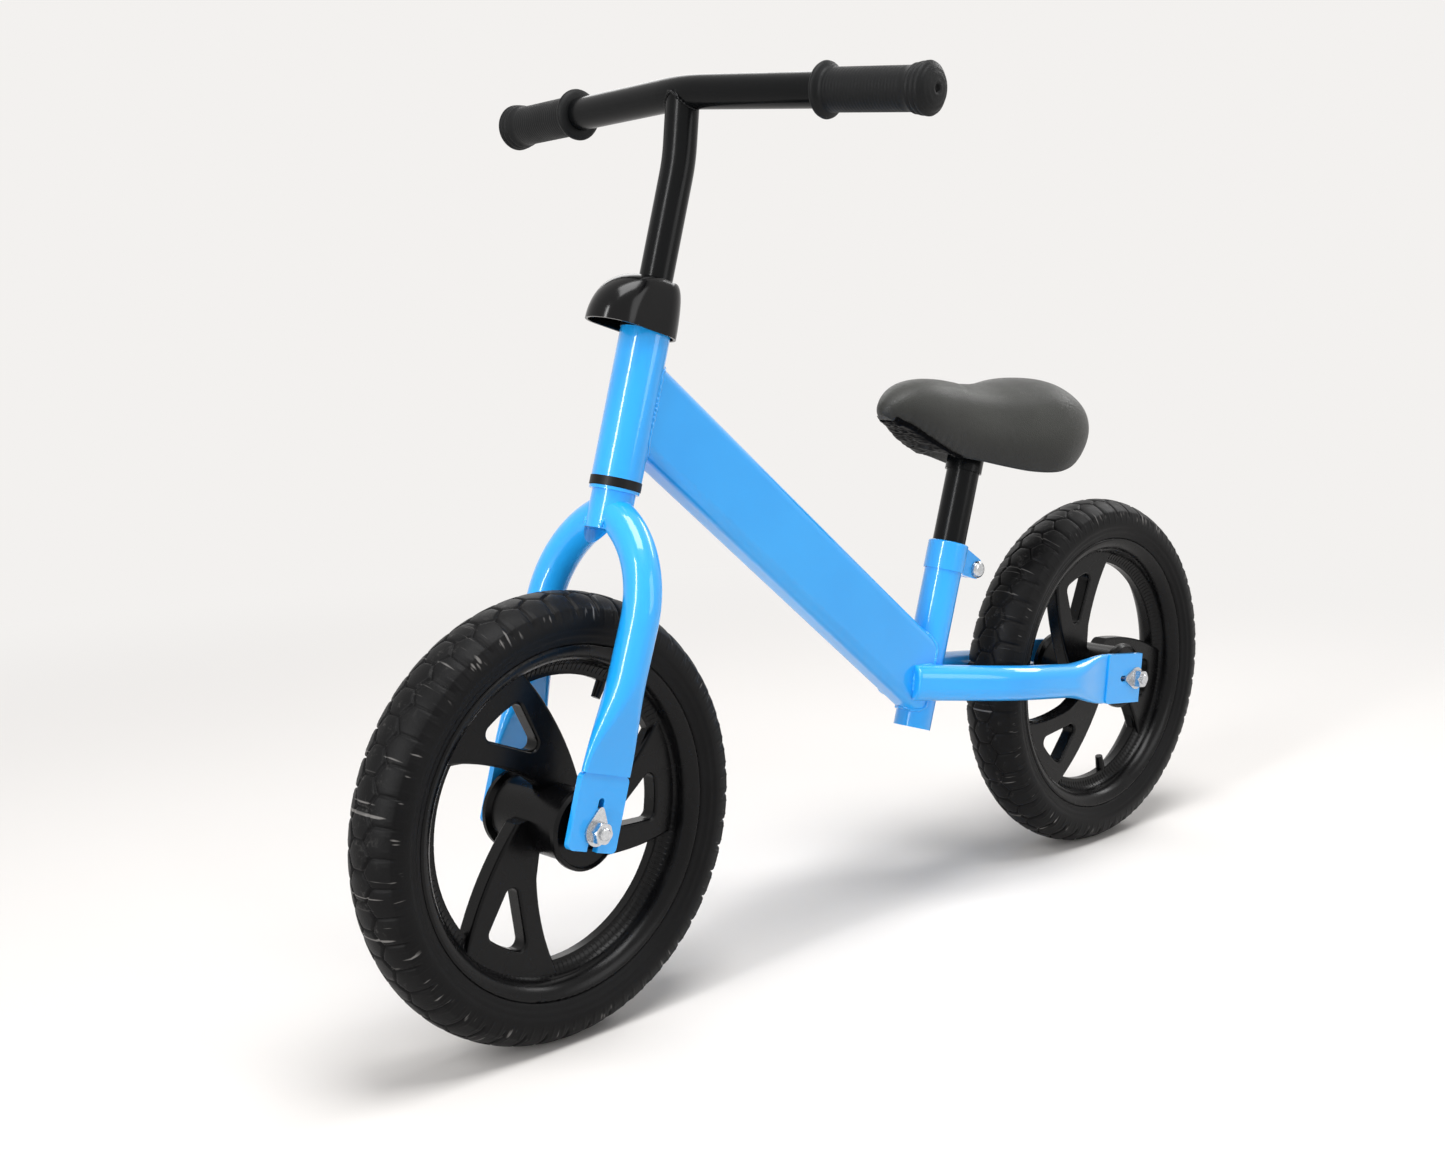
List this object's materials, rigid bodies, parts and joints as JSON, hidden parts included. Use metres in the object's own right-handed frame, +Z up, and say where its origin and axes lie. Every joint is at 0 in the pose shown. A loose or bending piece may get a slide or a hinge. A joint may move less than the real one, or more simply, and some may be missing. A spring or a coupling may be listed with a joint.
{
  "type": "balance bike",
  "caption": "Children's balance bike: steel frame and fork, moulded wheels with foam tyres, turning handlebar, and a saddle and bar that slide up and down in their clamps.",
  "frame": {"origin": "on the ground, midway between the axles, in the middle plane", "axes": "+X ahead, +Y to the rider's left, +Z up"},
  "size_m": [0.882, 0.3948, 0.6131],
  "materials": {
    "blue_paint": "gloss",
    "black_paint": "gloss",
    "foam_tyre": "matt",
    "wheel_plastic": "gloss",
    "grip_rubber": "matt",
    "cover_plastic": "gloss",
    "black_plastic": "satin",
    "saddle_vinyl": "satin",
    "zinc_steel": "plated"
  },
  "bodies": {
    "frame": {"head_tube": "blue_paint", "main_tube": "blue_paint", "seat_tube": "blue_paint", "left_stay": "blue_paint", "right_stay": "blue_paint", "lower_headset_bush": "black_plastic", "upper_headset_bush": "black_plastic", "seat_clamp": "blue_paint", "seat_clamp_bolt": "zinc_steel", "seat_clamp_nut": "zinc_steel", "rear_axle": "zinc_steel", "rear_axle_nuts": "zinc_steel", "rear_axle_washers": "zinc_steel", "rear_axle_spacers": "zinc_steel"},
    "rear_wheel": {"rear_tyre": "foam_tyre", "rear_wheel_core": "wheel_plastic", "rear_hub_bearings": "zinc_steel"},
    "fork": {"steerer_tube": "blue_paint", "crown_race": "blue_paint", "left_fork_blade": "blue_paint", "right_fork_blade": "blue_paint", "front_axle": "zinc_steel", "front_axle_nuts": "zinc_steel", "front_axle_washers": "zinc_steel", "front_axle_spacers": "zinc_steel", "stem_clamp": "zinc_steel", "stem_clamp_bolt": "zinc_steel", "stem_clamp_nut": "zinc_steel", "headset_cover": "cover_plastic"},
    "front_wheel": {"front_tyre": "foam_tyre", "front_wheel_core": "wheel_plastic", "front_hub_bearings": "zinc_steel"},
    "handlebar": {"stem_tube": "black_paint", "handlebar_tube": "black_paint", "left_grip": "grip_rubber", "right_grip": "grip_rubber"},
    "seat": {"seat_post": "black_paint", "saddle_bracket": "zinc_steel", "saddle_pan": "black_plastic", "saddle_cushion": "saddle_vinyl", "saddle_screws": "zinc_steel"}
  },
  "joints": [
    {"name": "steering", "type": "hinge", "parent": "frame", "child": "fork", "pos_m": [0.295, 0, 0.146], "axis": [-0.2874, 0, 0.9578], "continuous": true},
    {"name": "front_wheel_spin", "type": "hinge", "parent": "fork", "child": "front_wheel", "pos_m": [0.295, 0, 0.146], "axis": [0, 1, 0], "continuous": true},
    {"name": "rear_wheel_spin", "type": "hinge", "parent": "frame", "child": "rear_wheel", "pos_m": [-0.295, 0, 0.146], "axis": [0, 1, 0], "continuous": true},
    {"name": "seat_height", "type": "slide", "parent": "frame", "child": "seat", "axis": [-0.3057, 0, 0.9521], "range_m": [-0.045, 0.05]},
    {"name": "handlebar_height", "type": "slide", "parent": "fork", "child": "handlebar", "axis": [-0.2874, 0, 0.9578], "range_m": [-0.04, 0.04]}
  ]
}
